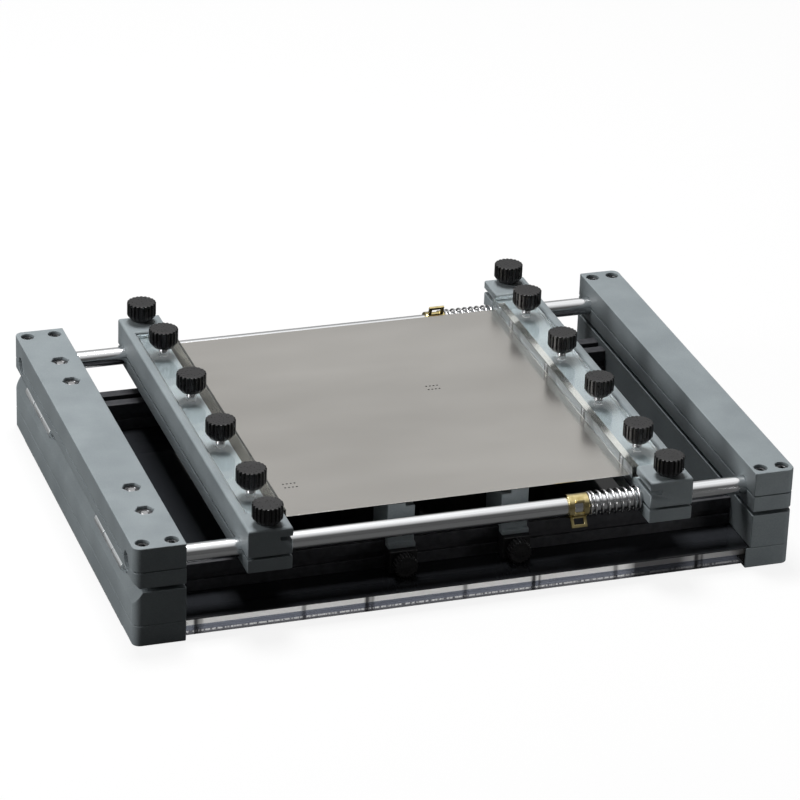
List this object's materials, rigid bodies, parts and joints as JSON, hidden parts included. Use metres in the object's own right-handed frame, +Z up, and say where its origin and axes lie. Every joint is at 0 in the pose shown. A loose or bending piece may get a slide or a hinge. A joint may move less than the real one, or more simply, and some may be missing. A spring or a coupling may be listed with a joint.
{
  "type": "manual stencil printer",
  "caption": "Bench solder-paste stencil printer: black base with board bars, a side-hinged rod frame and sliding clamp carriages that hold a thin steel stencil.",
  "frame": {"origin": "bottom centre of the bounding box, on the table", "axes": "+X along the guide rods toward the spring side, +Y from the front edge to the back, +Z up"},
  "size_m": [0.293, 0.2182, 0.0575],
  "materials": {
    "grey_plastic": "matte printed",
    "black_plastic": "satin",
    "clear_acrylic": "clear polished",
    "black_sheet": "high gloss",
    "black_rail": "semi gloss",
    "black_steel": "black oxide",
    "pad_rubber": "matte",
    "hinge_steel": "satin plated",
    "screw_steel": "satin",
    "rod_steel": "ground and polished",
    "yellow_zinc": "yellow zinc plated",
    "spring_steel": "bright",
    "stencil_steel": "satin rolled"
  },
  "bodies": {
    "base": {"base_plate": "clear_acrylic", "black_sheet": "black_sheet", "left_base_block": "grey_plastic", "right_base_block": "grey_plastic", "left_foot": "grey_plastic", "right_foot": "grey_plastic", "front_rail": "black_rail", "back_rail": "black_rail", "rail_screws": "black_steel", "foot_screws": "black_steel", "rest_pads": "pad_rubber", "front_base_leaf": "hinge_steel", "back_base_leaf": "hinge_steel", "front_hinge_pin": "hinge_steel", "back_hinge_pin": "hinge_steel", "hinge_base_screws": "screw_steel"},
    "frame": {"left_upper_block": "grey_plastic", "left_lower_block": "grey_plastic", "right_upper_block": "grey_plastic", "right_lower_block": "grey_plastic", "front_rod": "rod_steel", "back_rod": "rod_steel", "frame_screws": "screw_steel", "front_frame_leaf": "hinge_steel", "back_frame_leaf": "hinge_steel", "hinge_frame_screws": "screw_steel", "hinge_nuts": "screw_steel", "front_rod_clamp": "yellow_zinc", "back_rod_clamp": "yellow_zinc", "front_spring": "spring_steel", "back_spring": "spring_steel"},
    "left_carriage": {"left_carriage_upper": "grey_plastic", "left_carriage_lower": "grey_plastic", "left_clamp_bar": "clear_acrylic", "stencil": "stencil_steel", "left_joining_screws": "screw_steel"},
    "right_carriage": {"right_carriage_upper": "grey_plastic", "right_carriage_lower": "grey_plastic", "right_clamp_bar": "clear_acrylic", "right_joining_screws": "screw_steel"},
    "left_bar": {"left_board_bar": "grey_plastic", "left_bar_hooks": "black_plastic"},
    "right_bar": {"right_board_bar": "grey_plastic", "right_bar_hooks": "black_plastic"},
    "left_knob_1": {"left_knob_1": "black_plastic"},
    "left_knob_2": {"left_knob_2": "black_plastic"},
    "left_knob_3": {"left_knob_3": "black_plastic"},
    "left_knob_4": {"left_knob_4": "black_plastic"},
    "left_lock_front": {"left_lock_front": "black_plastic"},
    "left_lock_back": {"left_lock_back": "black_plastic"},
    "right_knob_1": {"right_knob_1": "black_plastic"},
    "right_knob_2": {"right_knob_2": "black_plastic"},
    "right_knob_3": {"right_knob_3": "black_plastic"},
    "right_knob_4": {"right_knob_4": "black_plastic"},
    "right_lock_front": {"right_lock_front": "black_plastic"},
    "right_lock_back": {"right_lock_back": "black_plastic"},
    "left_bar_lock_front": {"left_bar_lock_front": "black_plastic"},
    "left_bar_lock_back": {"left_bar_lock_back": "black_plastic"},
    "right_bar_lock_front": {"right_bar_lock_front": "black_plastic"},
    "right_bar_lock_back": {"right_bar_lock_back": "black_plastic"}
  },
  "joints": [
    {"name": "frame_lift", "type": "hinge", "parent": "base", "child": "frame", "pos_m": [-0.1441, 0, 0.02605], "axis": [0, -1, 0], "range_deg": [0, 105]},
    {"name": "left_carriage_slide", "type": "slide", "parent": "frame", "child": "left_carriage", "axis": [1, 0, 0], "range_m": [-0.02, 0.001]},
    {"name": "right_carriage_slide", "type": "slide", "parent": "frame", "child": "right_carriage", "axis": [1, 0, 0], "range_m": [-0.001, 0.02], "deforming": ["front_spring", "back_spring"]},
    {"name": "left_bar_slide", "type": "slide", "parent": "base", "child": "left_bar", "axis": [1, 0, 0], "range_m": [-0.03, 0.012]},
    {"name": "right_bar_slide", "type": "slide", "parent": "base", "child": "right_bar", "axis": [1, 0, 0], "range_m": [-0.012, 0.03]},
    {"name": "left_knob_1_turn", "type": "hinge", "parent": "left_carriage", "child": "left_knob_1", "pos_m": [-0.0863, -0.0711, 0.05], "axis": [0, 0, 1], "continuous": true},
    {"name": "left_knob_2_turn", "type": "hinge", "parent": "left_carriage", "child": "left_knob_2", "pos_m": [-0.0863, -0.0237, 0.05], "axis": [0, 0, 1], "continuous": true},
    {"name": "left_knob_3_turn", "type": "hinge", "parent": "left_carriage", "child": "left_knob_3", "pos_m": [-0.0863, 0.0237, 0.05], "axis": [0, 0, 1], "continuous": true},
    {"name": "left_knob_4_turn", "type": "hinge", "parent": "left_carriage", "child": "left_knob_4", "pos_m": [-0.0863, 0.0711, 0.05], "axis": [0, 0, 1], "continuous": true},
    {"name": "left_lock_front_turn", "type": "hinge", "parent": "left_carriage", "child": "left_lock_front", "pos_m": [-0.0883, -0.1025, 0.05], "axis": [0, 0, 1], "continuous": true},
    {"name": "left_lock_back_turn", "type": "hinge", "parent": "left_carriage", "child": "left_lock_back", "pos_m": [-0.0883, 0.1025, 0.05], "axis": [0, 0, 1], "continuous": true},
    {"name": "right_knob_1_turn", "type": "hinge", "parent": "right_carriage", "child": "right_knob_1", "pos_m": [0.0875, -0.0711, 0.05], "axis": [0, 0, 1], "continuous": true},
    {"name": "right_knob_2_turn", "type": "hinge", "parent": "right_carriage", "child": "right_knob_2", "pos_m": [0.0875, -0.0237, 0.05], "axis": [0, 0, 1], "continuous": true},
    {"name": "right_knob_3_turn", "type": "hinge", "parent": "right_carriage", "child": "right_knob_3", "pos_m": [0.0875, 0.0237, 0.05], "axis": [0, 0, 1], "continuous": true},
    {"name": "right_knob_4_turn", "type": "hinge", "parent": "right_carriage", "child": "right_knob_4", "pos_m": [0.0875, 0.0711, 0.05], "axis": [0, 0, 1], "continuous": true},
    {"name": "right_lock_front_turn", "type": "hinge", "parent": "right_carriage", "child": "right_lock_front", "pos_m": [0.0895, -0.1025, 0.05], "axis": [0, 0, 1], "continuous": true},
    {"name": "right_lock_back_turn", "type": "hinge", "parent": "right_carriage", "child": "right_lock_back", "pos_m": [0.0895, 0.1025, 0.05], "axis": [0, 0, 1], "continuous": true},
    {"name": "left_bar_lock_front_turn", "type": "hinge", "parent": "left_bar", "child": "left_bar_lock_front", "pos_m": [-0.0246, -0.0945, 0.015], "axis": [0, -1, 0], "continuous": true},
    {"name": "left_bar_lock_back_turn", "type": "hinge", "parent": "left_bar", "child": "left_bar_lock_back", "pos_m": [-0.0246, 0.0945, 0.015], "axis": [0, 1, 0], "continuous": true},
    {"name": "right_bar_lock_front_turn", "type": "hinge", "parent": "right_bar", "child": "right_bar_lock_front", "pos_m": [0.0264, -0.0945, 0.015], "axis": [0, -1, 0], "continuous": true},
    {"name": "right_bar_lock_back_turn", "type": "hinge", "parent": "right_bar", "child": "right_bar_lock_back", "pos_m": [0.0264, 0.0945, 0.015], "axis": [0, 1, 0], "continuous": true}
  ]
}
